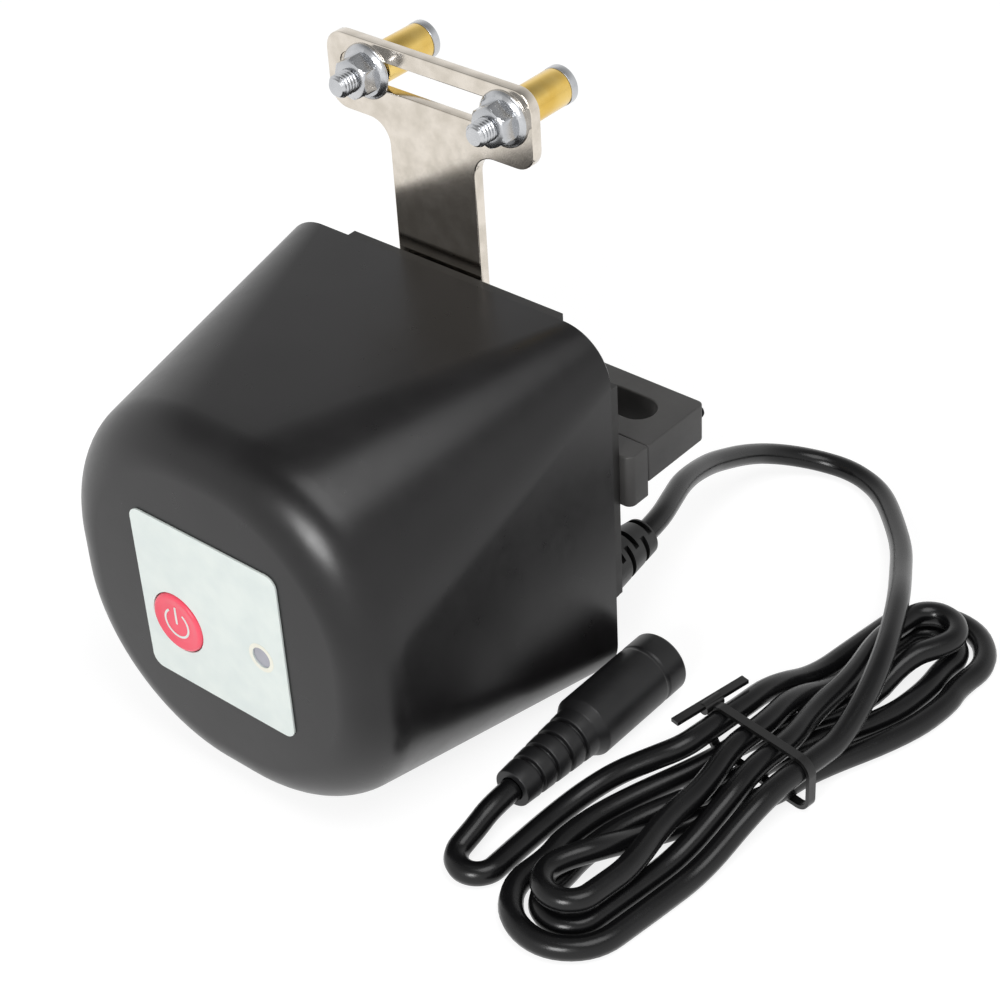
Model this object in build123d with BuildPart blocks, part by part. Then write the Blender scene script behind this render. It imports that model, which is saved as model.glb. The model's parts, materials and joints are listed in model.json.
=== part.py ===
from build123d import *
import math
import os

os.makedirs("parts", exist_ok=True)

# Valve actuator with a T arm, a pipe bracket and a lead, in millimetres.
# X right, Y to the rear, Z up. Places are measured from the centre of the housing's front face.
case_x = -1.0
front_y = -51.0

# Shared clearances
seat_gap = 0.02
run_gap = 0.3
shaft_gap = 0.04
overrun = 1.0

# Metric screws
m3_shank = 1.5
m3_head = 2.75
m3_head_depth = 2.0
m3_pilot = 1.25
m5_shank = 2.45

# Housing
back_side = 88.0
back_corner = 11.5
front_side = 85.4
front_corner = 39.4
front_drop = (back_side - front_side) / 2
case_depth = 72.0
wall = 3.0
front_round = 10.0
inner_round = 7.0
rim_wall = 1.4
rim_depth = 3.0
boss_at = 36.0
boss_radius = 4.5
boss_length = 9.0
ledge_y = case_depth - rim_depth
sole_flat = 0.05
case_z = back_side / 2 - sole_flat

# Rear closure
gasket_thick = 1.0
plate_gap = 0.1
pad_height = 2.7
pad_top = case_depth + pad_height
pad_reach = 43.2
pad_tall_x = 2.0
pad_tall_half = 28.0
pad_wide_z = 5.3
pad_wide_half = 26.1
plate_y = ledge_y + gasket_thick

# Front panel
label_side = 40.0
label_thick = 0.5
label_x = 0.3
label_z = -0.5
label_corner = 1.0
button_x = -10.0
button_z = -5.4
button_radius = 6.8
button_front = -1.0
button_edge = 0.8
button_flange = 8.0
flange_thick = 1.0
button_stem = 2.0
button_travel = 0.5
lens_x = 13.7
lens_z = -2.6
lens_radius = 2.3
lens_flange = 3.3
lens_front = -0.2
lens_back = 7.3

# Control board
board_y = 11.0
board_thick = 1.6
board_side = 56.0
board_chamfer = 6.0
post_at = 23.0
post_radius = 2.5
board_screw_shank = 1.0
board_screw_head = 2.0
board_screw_depth = 1.5
board_screw_grip = 5.0
switch_side = 6.0
switch_depth = 3.5
plunger_radius = 1.7
plunger_back = 8.5
led_side = 3.0
wifi_size = (16.0, 24.0, 3.0)
wifi_x = 8.0
wifi_z = 15.0
relay_size = (10.0, 15.0, 11.0)
relay_x = -16.0
relay_z = 12.0

# Gear train
shaft_x = -2.8
shaft_z = 0.0
module_slow = 1.0
module_fast = 0.8
output_teeth_count = 36
small_teeth_count = 12
big_teeth_count = 40
pinion_teeth_count = 10
first_angle = 20.0
motor_angle = -110.0
backlash_share = 0.16
addendum_share = 1.0
dedendum_share = 1.25
tip_share = 0.34
root_share = 0.72
pitch_share = 0.5
slow_centres = module_slow * (output_teeth_count + small_teeth_count) / 2
fast_centres = module_fast * (big_teeth_count + pinion_teeth_count) / 2
first_x = shaft_x + slow_centres * math.cos(math.radians(first_angle))
first_z = shaft_z + slow_centres * math.sin(math.radians(first_angle))
motor_x = first_x + fast_centres * math.cos(math.radians(motor_angle))
motor_z = first_z + fast_centres * math.sin(math.radians(motor_angle))
gear_plate_thick = 2.0
gear_plate_margin = 4.0
gear_plate_corner = 4.0
pillar_length = 10.0
plate_apart = 14.0
rear_plate_y = plate_y - pillar_length - gear_plate_thick
front_plate_y = rear_plate_y - plate_apart - gear_plate_thick
post_places = [(-23.0, 23.0), (-23.0, -21.0), (35.0, 23.0), (23.0, -23.0)]
tube_radius = 3.0
pinion_in = 3.0
pinion_length = 5.0
big_in = 3.5
big_thick = 4.0
small_length = 7.0
output_in = 9.0
output_thick = 5.0
pinion_y = front_plate_y + pinion_in
big_y = front_plate_y + big_in
output_y = front_plate_y + output_in
axle_radius = 2.0
axle_gap = 0.05
axle_end = 0.5
motor_radius = 12.0
motor_gap = 2.4
motor_y = board_y + board_thick + motor_gap
motor_neck = 3.5
motor_neck_length = 1.6
motor_shaft = 1.5
motor_screw_at = 8.5
motor_screw_shank = 1.25
motor_screw_head = 2.4
motor_screw_sink = 1.2
motor_screw_grip = 4.0

# Output shaft and what it carries
shaft_radius = 5.0
journal_radius = 3.0
step_gap = 0.2
arm_gap = 0.6
journal_y = front_plate_y - axle_end
shaft_step_y = front_plate_y + gear_plate_thick + step_gap
arm_y = pad_top + arm_gap
arm_thick = 2.5
flat_radius = 4.0
flat_across = 6.4
bush_radius = 7.0
bush_flange = 9.0
bush_depth = 6.0
bush_y = case_depth - bush_depth
cover_boss = 11.0
seal_radius = 8.5
seal_thick = 2.4
cam_gap = 1.0
cam_y = rear_plate_y + gear_plate_thick + cam_gap
cam_thick = 3.5
cam_radius = 8.0
cam_reach = 10.5
cam_lobe = 3.0
limit_switch = (12.8, 6.5, 5.8)
limit_switch_gap = 0.4
washer_radius = 6.0
washer_thick = 1.0
arm_screw_head = 4.0
arm_screw_depth = 2.5
arm_screw_shank = 2.0
arm_screw_grip = 9.0
hex_share = 0.55

# T arm with its slot and studs
arm_hub = 11.2
bar_wide = 53.4
bar_low = 71.7
bar_high = 88.5
bar_corner = 4.5
neck_round = 5.0
slot_high = 6.2
slot_margin = 3.6
slot_reach = bar_wide / 2 - slot_high / 2 - slot_margin
slot_z = 81.75
left_in = 4.0
right_in = 0.4
left_x = shaft_x - slot_reach + left_in
right_x = shaft_x + slot_reach - right_in
nut_thick = 5.0
nut_across = 8.0
nut_flange = 5.9
nut_flange_thick = 1.2
bolt_front = 4.0
sleeve_radius = 4.0
sleeve_length = 13.3
bolt_head = 4.1
bolt_head_depth = 1.9
bolt_key = 2.0

# Pipe bracket
base_left = 16.0
base_right = 46.0
base_low = 2.0
base_top = 14.4
base_thick = 6.0
base_corner = 1.8
clamp_low = 5.4
clamp_depth = 19.3
strap_x = 32.1
strap_wide = 15.8
strap_in = 11.6
strap_y = pad_top + strap_in
strap_deep = 8.2
clamp_corner = 1.5
clamp_screw_z = 9.5
clamp_screw_x = [20.0, 42.6]
clamp_screw_tip = 3.0
clamp_recess = 2.9
clamp_recess_depth = 3.0
base_screw_z = 8.2
base_screw_x = [26.0, 36.0]
base_screw_grip = 5.0

# Cord gland
gland_x = 36.5
gland_z = -18.7
gland_foot = (8.6, 14.0, 1.5)
gland_neck = 4.0
gland_base_radius = 6.2
gland_tip_radius = 4.3
gland_length = 15.5
gland_core = 3.0
window_pitch = 2.8
window_wide = 1.4
window_start = 2.4
window_count = 5
gland_pad = 6.7

# Lead
cord_radius = 2.5
floor_gap = 0.1
run_share = 0.45
lead_route = [
    (35.5, 47.3, 25.3), (32.2, 55.4, 25.0), (27.9, 64.0, 23.3),
    (25.0, 77.3, 18.0), (24.3, 85.3, 14.3), (24.2, 93.0, 11.0), (25.0, 100.2, 7.6),
    (28.6, 106.4, 4.9), (34.4, 110.6, 3.2), (41.4, 112.1, 2.7), (48.4, 110.6, 2.6),
    (54.5, 106.8, 3.0), (62.4, 98.4, 4.6), (70.2, 88.9, 6.9), (76.4, 78.5, 9.6),
    (83.0, 67.1, 13.6), (87.5, 57.8, 14.5), (91.7, 47.5, 14.5), (94.6, 36.6, 12.4),
]
tail_route = [
    (68.0, -0.4, 8.0), (63.3, -5.9, 5.6), (60.2, -12.6, 3.4),
    (59.0, -20.8, 2.6), (58.8, -29.5, 2.6), (58.6, -35.6, 2.6), (58.8, -40.8, 2.6),
    (56.2, -43.4, 2.6), (52.6, -43.4, 2.6), (50.0, -40.8, 2.9), (50.2, -36.2, 4.4),
    (50.4, -29.8, 7.1),
]

# Bundle: a figure of eight with three loops, wound from one lead
hank_x = 84.0
hank_y = 14.7
hank_angle = 8.1
lobe_at = 52.5
station_shares = [1.0, 0.8, 0.55, 0.3, 0.05]
level_step = 6.1
waist_lift = 1.0
lead_straight = 9.0
straight_angle = 0.01
over_outer = [11.8, 11.8, 11.6, 11.5, 10.5]
over_middle = [6.0, 6.0, 5.9, 5.9, 3.5]
over_inner = [5.5, 5.5, 1.2, 0.0, -3.5]
under_outer = [11.8, 13.7, 13.7, 7.7]
under_middle = [6.0, 8.0, 8.0, 0.0]
under_inner = [5.5, 2.2, 2.2, -7.7]
low_then_high = [0, 0, 0, 1, 1]
all_high = [1, 1, 1, 1, 1]
all_low = [0, 0, 0, 0]
high_then_low = [1, 1, 0, 0]

# Tie round the bundle
tie_thick = 0.9
tie_wide = 2.0
tie_low = 0.1
tie_high = 13.2
tie_half = 14.0
tie_corner = 3.5
tie_tail_start = (68.2, 6.9, 12.7)
tie_tail_end = (72.0, 26.2, 12.7)
tie_knot_z = 11.9
tie_knot_out = 13.9
tie_knot_radius = 1.4
tie_knot_length = 5.0

# Inline socket
jack_x = 50.4
jack_start = -23.5
relief_length = 21.1
relief_radius = 4.25
relief_end = 5.75
relief_rings = 4
relief_groove = 1.2
relief_groove_depth = 0.9
barrel_radius = 7.0
barrel_end = 26.0
shoulder = 2.0
barrel_edge = 0.6
socket_radius = 4.2
socket_bore = 2.75
socket_depth = 9.5
insert_length = 12.0
pin_radius = 1.0
pin_short = 1.0


def facing(y, x=0, z=0):
    # Sketch plane facing the front, X right and Z up
    return Plane(origin=(case_x + x, front_y + y, case_z + z), x_dir=(1, 0, 0), z_dir=(0, -1, 0))


def along(y, x, z):
    # Plane whose normal runs to the rear
    return Plane(origin=(case_x + x, front_y + y, case_z + z), x_dir=(1, 0, 0), z_dir=(0, 1, 0))


def rod(radius, y0, y1, x, z, mode=Mode.ADD):
    # Round bar between two depths
    with Locations(along(y0, x, z)):
        Cylinder(radius=radius, height=y1 - y0, align=(Align.CENTER, Align.CENTER, Align.MIN), mode=mode)


def block(x0, x1, y0, y1, z0, z1, mode=Mode.ADD):
    # Rectangular block between named faces
    with Locations((case_x + x0, front_y + y0, case_z + z0)):
        Box(x1 - x0, y1 - y0, z1 - z0, align=(Align.MIN, Align.MIN, Align.MIN), mode=mode)


def save(part, name):
    part.label = name
    export_step(part, "parts/" + name + ".step")


def gear_points(module, teeth, phase):
    # Outline of a spur gear whose first tooth points at the phase angle
    pitch = module * teeth / 2
    outer = pitch + module * addendum_share
    root = pitch - module * dedendum_share
    step = 2 * math.pi / teeth
    wide = step / 2 * (1 - backlash_share)
    rows = [(root, -wide * root_share), (pitch, -wide * pitch_share), (outer, -wide * tip_share * pitch / outer)]
    rows = rows + [(r, -a) for r, a in reversed(rows)]
    points = []
    for n in range(teeth):
        for r, a in rows:
            t = math.radians(phase) + n * step + a
            points.append((r * math.cos(t), r * math.sin(t)))
    return points


# Front housing
with BuildPart() as housing_core:
    with BuildSketch(facing(wall, 0, -front_drop)):
        RectangleRounded(front_side - 2 * wall, front_side - 2 * wall, front_corner - wall)
    with BuildSketch(facing(case_depth + overrun)):
        RectangleRounded(back_side - 2 * wall, back_side - 2 * wall, back_corner - wall)
    loft(ruled=True)
    fillet(housing_core.faces().sort_by(Axis.Y)[0].edges(), radius=inner_round)

with BuildPart() as front_housing:
    with BuildSketch(facing(0, 0, -front_drop)):
        RectangleRounded(front_side, front_side, front_corner)
    with BuildSketch(facing(case_depth)):
        RectangleRounded(back_side, back_side, back_corner)
    loft(ruled=True)
    fillet(front_housing.faces().sort_by(Axis.Y)[0].edges(), radius=front_round)
    # The underside is cut to a true plane
    block(-back_side, back_side, -overrun, case_depth + overrun, -back_side, -case_z, Mode.SUBTRACT)
    add(housing_core.part, mode=Mode.SUBTRACT)
    with BuildSketch(facing(ledge_y)):
        RectangleRounded(back_side - 2 * rim_wall, back_side - 2 * rim_wall, back_corner - rim_wall)
    extrude(amount=-rim_depth, mode=Mode.SUBTRACT)
    for sx in (-1, 1):
        for sz in (-1, 1):
            rod(boss_radius, ledge_y - boss_length, ledge_y, sx * boss_at, sz * boss_at)
            rod(m3_pilot, ledge_y - boss_length + overrun, ledge_y, sx * boss_at, sz * boss_at, Mode.SUBTRACT)
            rod(post_radius, wall - overrun, board_y, sx * post_at, sz * post_at)
            rod(board_screw_shank, board_y - board_screw_grip, board_y, sx * post_at, sz * post_at, Mode.SUBTRACT)
    rod(button_radius + run_gap, -overrun, wall + overrun, button_x, button_z, Mode.SUBTRACT)
    rod(lens_radius + seat_gap, -overrun, wall + overrun, lens_x, lens_z, Mode.SUBTRACT)
save(front_housing.part, "front_housing")

# Front label, with holes for the button and the lamp window
with BuildPart() as front_label:
    with BuildSketch(facing(-label_thick, label_x, label_z)):
        RectangleRounded(label_side, label_side, label_corner)
    extrude(amount=-label_thick)
    rod(button_radius + run_gap, -overrun, overrun, button_x, button_z, Mode.SUBTRACT)
    rod(lens_radius + seat_gap, -overrun, overrun, lens_x, lens_z, Mode.SUBTRACT)
save(front_label.part, "front_label")

# Power button: cap, retaining flange and stem
with BuildPart() as power_button:
    rod(button_radius, button_front, wall + run_gap, button_x, button_z)
    fillet(power_button.faces().sort_by(Axis.Y)[0].edges(), radius=button_edge)
    rod(button_flange, wall + run_gap, wall + run_gap + flange_thick, button_x, button_z)
    rod(button_stem, wall + run_gap, board_y - switch_depth - button_travel - run_gap, button_x, button_z)
save(power_button.part, "power_button")

# Lamp window
with BuildPart() as status_lens:
    rod(lens_radius, lens_front, lens_back, lens_x, lens_z)
    rod(lens_flange, wall, wall + flange_thick, lens_x, lens_z)
save(status_lens.part, "status_lens")

# Board switch and its plunger
stem_back = board_y - switch_depth - button_travel - run_gap
with BuildPart() as button_switch:
    block(button_x - switch_side / 2, button_x + switch_side / 2, board_y - switch_depth, board_y,
          button_z - switch_side / 2, button_z + switch_side / 2)
    rod(plunger_radius + run_gap, board_y - switch_depth, plunger_back + button_travel + run_gap,
        button_x, button_z, Mode.SUBTRACT)
save(button_switch.part, "button_switch")

with BuildPart() as switch_plunger:
    rod(plunger_radius, stem_back, plunger_back, button_x, button_z)
save(switch_plunger.part, "switch_plunger")

with BuildPart() as status_led:
    block(lens_x - led_side / 2, lens_x + led_side / 2, board_y - switch_depth, board_y,
          lens_z - led_side / 2, lens_z + led_side / 2)
save(status_led.part, "status_led")

# Control board and what stands on it
with BuildPart() as control_board:
    with BuildSketch(facing(board_y)):
        Rectangle(board_side, board_side)
        chamfer(vertices(), length=board_chamfer)
    extrude(amount=-board_thick)
    for sx in (-1, 1):
        for sz in (-1, 1):
            rod(board_screw_shank + seat_gap, board_y, board_y + board_thick, sx * post_at, sz * post_at,
                Mode.SUBTRACT)
save(control_board.part, "control_board")

board_back = board_y + board_thick
with BuildPart() as wifi_module:
    block(wifi_x - wifi_size[0] / 2, wifi_x + wifi_size[0] / 2, board_back, board_back + wifi_size[2],
          wifi_z - wifi_size[1] / 2, wifi_z + wifi_size[1] / 2)
save(wifi_module.part, "wifi_module")

with BuildPart() as motor_relays:
    for sz in (-1, 1):
        block(relay_x - relay_size[0] / 2, relay_x + relay_size[0] / 2, board_back, board_back + relay_size[2],
              sz * relay_z - relay_size[1] / 2, sz * relay_z + relay_size[1] / 2)
save(motor_relays.part, "motor_relays")

with BuildPart() as board_screws:
    for sx in (-1, 1):
        for sz in (-1, 1):
            rod(board_screw_head, board_back, board_back + board_screw_depth, sx * post_at, sz * post_at)
            rod(board_screw_shank - seat_gap, board_back - board_screw_grip, board_back,
                sx * post_at, sz * post_at)
save(board_screws.part, "board_screws")

# Rear closure with its pad, shaft boss and gear frame pillars
pillar_y = rear_plate_y + gear_plate_thick
with BuildPart() as back_cover:
    with BuildSketch(facing(plate_y)):
        RectangleRounded(back_side - 2 * rim_wall - 2 * plate_gap, back_side - 2 * rim_wall - 2 * plate_gap,
                         back_corner - rim_wall - plate_gap)
    extrude(amount=-(case_depth - plate_y))
    block(pad_tall_x - pad_tall_half, pad_tall_x + pad_tall_half, case_depth, pad_top, -pad_reach, pad_reach)
    block(-pad_reach, pad_reach, case_depth, pad_top, pad_wide_z - pad_wide_half, pad_wide_z + pad_wide_half)
    rod(gland_pad, case_depth, pad_top, gland_x, gland_z)
    rod(cover_boss, bush_y, plate_y, shaft_x, shaft_z)
    rod(bush_radius + seat_gap, bush_y - overrun, pad_top, shaft_x, shaft_z, Mode.SUBTRACT)
    rod(seal_radius + seat_gap, case_depth, pad_top, shaft_x, shaft_z, Mode.SUBTRACT)
    rod(gland_neck + seat_gap, plate_y - overrun, pad_top + overrun, gland_x, gland_z, Mode.SUBTRACT)
    for px, pz in post_places:
        rod(tube_radius, pillar_y, plate_y, px, pz)
        rod(m3_pilot, pillar_y, plate_y, px, pz, Mode.SUBTRACT)
    for px in base_screw_x:
        rod(m3_shank, plate_y, pad_top, px, base_screw_z, Mode.SUBTRACT)
    for sx in (-1, 1):
        for sz in (-1, 1):
            rod(m3_shank, plate_y, pad_top, sx * boss_at, sz * boss_at, Mode.SUBTRACT)
save(back_cover.part, "back_cover")

# Gasket under the closure, with an ear at each screw
with BuildPart() as cover_gasket:
    with BuildSketch(facing(ledge_y)):
        RectangleRounded(back_side - 2 * rim_wall - 2 * plate_gap, back_side - 2 * rim_wall - 2 * plate_gap,
                         back_corner - rim_wall - plate_gap)
        RectangleRounded(back_side - 2 * wall, back_side - 2 * wall, back_corner - wall, mode=Mode.SUBTRACT)
        with GridLocations(2 * boss_at, 2 * boss_at, 2, 2):
            Circle(boss_radius)
            Circle(m3_shank, mode=Mode.SUBTRACT)
    extrude(amount=-gasket_thick)
save(cover_gasket.part, "cover_gasket")

with BuildPart() as cover_screws:
    for sx in (-1, 1):
        for sz in (-1, 1):
            rod(m3_head, case_depth, case_depth + m3_head_depth, sx * boss_at, sz * boss_at)
            rod(m3_pilot - seat_gap, ledge_y - boss_length + 2 * overrun, case_depth, sx * boss_at, sz * boss_at)
save(cover_screws.part, "cover_screws")

# Gear frame
def frame_plate(y):
    across = [px for px, pz in post_places]
    up = [pz for px, pz in post_places]
    block(min(across) - gear_plate_margin, max(across) + gear_plate_margin, y, y + gear_plate_thick,
          min(up) - gear_plate_margin, max(up) + gear_plate_margin)
    fillet(edges().filter_by(Axis.Y), radius=gear_plate_corner)
    for px, pz in post_places:
        rod(m3_shank, y, y + gear_plate_thick, px, pz, Mode.SUBTRACT)
    rod(axle_radius + seat_gap, y, y + gear_plate_thick, first_x, first_z, Mode.SUBTRACT)


front_plate_back = front_plate_y + gear_plate_thick
with BuildPart() as front_gear_plate:
    frame_plate(front_plate_y)
    rod(journal_radius + shaft_gap, front_plate_y, front_plate_back, shaft_x, shaft_z, Mode.SUBTRACT)
    rod(motor_neck + seat_gap, front_plate_y, front_plate_back, motor_x, motor_z, Mode.SUBTRACT)
    for sx in (-1, 1):
        rod(motor_screw_shank + seat_gap, front_plate_y, front_plate_back, motor_x + sx * motor_screw_at,
            motor_z, Mode.SUBTRACT)
        rod(motor_screw_head + seat_gap, front_plate_back - motor_screw_sink, front_plate_back,
            motor_x + sx * motor_screw_at, motor_z, Mode.SUBTRACT)
save(front_gear_plate.part, "front_gear_plate")

with BuildPart() as rear_gear_plate:
    frame_plate(rear_plate_y)
    rod(shaft_radius + run_gap, rear_plate_y, pillar_y, shaft_x, shaft_z, Mode.SUBTRACT)
save(rear_gear_plate.part, "rear_gear_plate")

with BuildPart() as gear_posts:
    for px, pz in post_places:
        rod(tube_radius, front_plate_back, rear_plate_y, px, pz)
        rod(m3_shank, front_plate_back, rear_plate_y, px, pz, Mode.SUBTRACT)
save(gear_posts.part, "gear_posts")

with BuildPart() as plate_screws:
    for px, pz in post_places:
        rod(m3_head, front_plate_y - m3_head_depth, front_plate_y, px, pz)
        rod(m3_pilot - seat_gap, front_plate_y, plate_y - overrun, px, pz)
save(plate_screws.part, "plate_screws")

# Motor with its gearhead, pinion and screws
with BuildPart() as geared_motor:
    rod(motor_radius, motor_y, front_plate_y, motor_x, motor_z)
    rod(motor_neck, front_plate_y, front_plate_y + motor_neck_length, motor_x, motor_z)
    rod(motor_shaft + run_gap, motor_y + motor_radius, pinion_y, motor_x, motor_z, Mode.SUBTRACT)
    for sx in (-1, 1):
        rod(motor_screw_shank + seat_gap, front_plate_y - motor_screw_grip - overrun, front_plate_y,
            motor_x + sx * motor_screw_at, motor_z, Mode.SUBTRACT)
save(geared_motor.part, "geared_motor")

with BuildPart() as motor_screws:
    for sx in (-1, 1):
        rod(motor_screw_head, front_plate_back - motor_screw_sink, front_plate_back,
            motor_x + sx * motor_screw_at, motor_z)
        rod(motor_screw_shank, front_plate_y - motor_screw_grip, front_plate_back - motor_screw_sink,
            motor_x + sx * motor_screw_at, motor_z)
save(motor_screws.part, "motor_screws")

pinion_phase = motor_angle + 180.0 + 180.0 / pinion_teeth_count
with BuildPart() as motor_pinion:
    with BuildSketch(facing(pinion_y, motor_x, motor_z)):
        Polygon(gear_points(module_fast, pinion_teeth_count, pinion_phase), align=None)
    extrude(amount=-pinion_length)
    rod(motor_shaft, motor_y + motor_radius + run_gap, pinion_y, motor_x, motor_z)
save(motor_pinion.part, "motor_pinion")

small_phase = first_angle + 180.0 + 180.0 / small_teeth_count
with BuildPart() as first_gear:
    with BuildSketch(facing(big_y, first_x, first_z)):
        Polygon(gear_points(module_fast, big_teeth_count, motor_angle), align=None)
    extrude(amount=-big_thick)
    with BuildSketch(facing(big_y + big_thick, first_x, first_z)):
        Polygon(gear_points(module_slow, small_teeth_count, small_phase), align=None)
    extrude(amount=-small_length)
    rod(axle_radius + axle_gap, big_y, big_y + big_thick + small_length, first_x, first_z, Mode.SUBTRACT)
save(first_gear.part, "first_gear")

with BuildPart() as first_axle:
    rod(axle_radius, front_plate_y - axle_end, pillar_y + axle_end, first_x, first_z)
save(first_axle.part, "first_axle")

# Output gear, pressed on the shaft
with BuildPart() as output_gear:
    with BuildSketch(facing(output_y, shaft_x, shaft_z)):
        Polygon(gear_points(module_slow, output_teeth_count, first_angle), align=None)
    extrude(amount=-output_thick)
    rod(shaft_radius + seat_gap, output_y, output_y + output_thick, shaft_x, shaft_z, Mode.SUBTRACT)
save(output_gear.part, "output_gear")

with BuildPart() as output_shaft:
    rod(journal_radius, journal_y, shaft_step_y, shaft_x, shaft_z)
    rod(shaft_radius, shaft_step_y, arm_y, shaft_x, shaft_z)
    with BuildSketch(facing(arm_y, shaft_x, shaft_z)):
        Circle(flat_radius)
        Rectangle(flat_across, 2 * flat_radius, mode=Mode.INTERSECT)
    extrude(amount=-arm_thick)
    rod(arm_screw_shank + seat_gap, arm_y + arm_thick - arm_screw_grip - overrun, arm_y + arm_thick,
        shaft_x, shaft_z, Mode.SUBTRACT)
save(output_shaft.part, "output_shaft")

with BuildPart() as limit_cam:
    rod(cam_radius, cam_y, cam_y + cam_thick, shaft_x, shaft_z)
    block(shaft_x - cam_lobe / 2, shaft_x + cam_lobe / 2, cam_y, cam_y + cam_thick, -cam_reach, shaft_z)
    fillet(edges().filter_by(Axis.Y).sort_by(Axis.Z)[:2], radius=cam_lobe / 2 - shaft_gap)
    rod(shaft_radius + seat_gap, cam_y, cam_y + cam_thick, shaft_x, shaft_z, Mode.SUBTRACT)
save(limit_cam.part, "limit_cam")

switch_near = cam_reach + limit_switch_gap
with BuildPart() as limit_switches:
    block(shaft_x + switch_near, shaft_x + switch_near + limit_switch[1], pillar_y, pillar_y + limit_switch[2],
          -limit_switch[0] / 2, limit_switch[0] / 2)
    block(shaft_x - limit_switch[0] / 2, shaft_x + limit_switch[0] / 2, pillar_y, pillar_y + limit_switch[2],
          -switch_near - limit_switch[1], -switch_near)
save(limit_switches.part, "limit_switches")

with BuildPart() as output_bush:
    rod(bush_radius, bush_y, case_depth, shaft_x, shaft_z)
    rod(bush_flange, bush_y - flange_thick, bush_y, shaft_x, shaft_z)
    rod(shaft_radius + shaft_gap, bush_y - flange_thick, case_depth, shaft_x, shaft_z, Mode.SUBTRACT)
save(output_bush.part, "output_bush")

with BuildPart() as shaft_seal:
    rod(seal_radius, case_depth, case_depth + seal_thick, shaft_x, shaft_z)
    rod(shaft_radius + shaft_gap, case_depth, case_depth + seal_thick, shaft_x, shaft_z, Mode.SUBTRACT)
save(shaft_seal.part, "shaft_seal")

# T arm, cut from one sheet
bar_middle = (bar_low + bar_high) / 2
bar_tall = bar_high - bar_low
with BuildPart() as t_arm:
    with BuildSketch(facing(arm_y, shaft_x, shaft_z)) as arm_outline:
        Circle(arm_hub)
        with Locations((0, bar_low / 2)):
            Rectangle(2 * arm_hub, bar_low)
        with Locations((0, bar_middle)):
            RectangleRounded(bar_wide, bar_tall, bar_corner)
        inner_corners = [v for v in arm_outline.vertices()
                         if abs(v.Y - bar_low) < seat_gap and abs(abs(v.X) - arm_hub) < seat_gap]
        fillet(inner_corners, radius=neck_round)
        with Locations((0, slot_z)):
            SlotCenterToCenter(2 * slot_reach, slot_high, mode=Mode.SUBTRACT)
        with BuildSketch(mode=Mode.SUBTRACT):
            Circle(flat_radius + seat_gap)
            Rectangle(flat_across + 2 * seat_gap, 2 * arm_hub, mode=Mode.INTERSECT)
    extrude(amount=-arm_thick)
save(t_arm.part, "t_arm")

arm_back = arm_y + arm_thick
with BuildPart() as arm_washer:
    rod(washer_radius, arm_back, arm_back + washer_thick, shaft_x, shaft_z)
    rod(arm_screw_shank + seat_gap, arm_back, arm_back + washer_thick, shaft_x, shaft_z, Mode.SUBTRACT)
save(arm_washer.part, "arm_washer")

with BuildPart() as arm_screw:
    rod(arm_screw_head, arm_back + washer_thick, arm_back + washer_thick + arm_screw_depth, shaft_x, shaft_z)
    rod(arm_screw_shank, arm_back - arm_screw_grip, arm_back + washer_thick, shaft_x, shaft_z)
    with BuildSketch(facing(arm_back + washer_thick + arm_screw_depth, shaft_x, shaft_z)):
        RegularPolygon(arm_screw_head * hex_share, 6)
    extrude(amount=arm_screw_depth * hex_share, mode=Mode.SUBTRACT)
save(arm_screw.part, "arm_screw")


# Stud sets in the slot: bolt from the rear, brass sleeve and flange nut
def stud_bolt(x, name):
    with BuildPart() as bolt:
        rod(m5_shank, arm_y - nut_thick - bolt_front, arm_back + sleeve_length, x, slot_z)
        rod(bolt_head, arm_back + sleeve_length, arm_back + sleeve_length + bolt_head_depth, x, slot_z)
        with BuildSketch(facing(arm_back + sleeve_length + bolt_head_depth, x, slot_z)):
            RegularPolygon(bolt_key, 6)
        extrude(amount=bolt_head_depth * hex_share, mode=Mode.SUBTRACT)
    save(bolt.part, name)


def stud_sleeve(x, name):
    with BuildPart() as sleeve:
        rod(sleeve_radius, arm_back, arm_back + sleeve_length, x, slot_z)
        rod(m5_shank + seat_gap, arm_back, arm_back + sleeve_length, x, slot_z, Mode.SUBTRACT)
    save(sleeve.part, name)


def stud_nut(x, name):
    with BuildPart() as nut:
        with BuildSketch(facing(arm_y - nut_thick, x, slot_z)):
            RegularPolygon(nut_across / 2, 6, major_radius=False)
        extrude(amount=-nut_thick)
        rod(nut_flange, arm_y - nut_flange_thick, arm_y, x, slot_z)
        rod(m5_shank + seat_gap, arm_y - nut_thick, arm_y, x, slot_z, Mode.SUBTRACT)
    save(nut.part, name)


for side, stud_x in (("left", left_x), ("right", right_x)):
    stud_bolt(stud_x, side + "_bolt")
    stud_sleeve(stud_x, side + "_sleeve")
    stud_nut(stud_x, side + "_nut")

# Pipe bracket: base block on the pad, slotted clamp block behind it
base_back = pad_top + base_thick
clamp_back = base_back + clamp_depth
with BuildPart() as bracket_base:
    block(base_left, base_right, pad_top, base_back, base_low, base_top)
    corner_edges = edges().filter_by(Axis.Z).sort_by(Axis.Y)[:2]
    fillet(corner_edges, radius=base_corner)
    for px in clamp_screw_x:
        rod(m3_shank, pad_top, base_back, px, clamp_screw_z, Mode.SUBTRACT)
        rod(clamp_recess, pad_top, pad_top + clamp_recess_depth, px, clamp_screw_z, Mode.SUBTRACT)
    for px in base_screw_x:
        rod(m3_pilot, pad_top, pad_top + base_screw_grip, px, base_screw_z, Mode.SUBTRACT)
save(bracket_base.part, "bracket_base")

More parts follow.
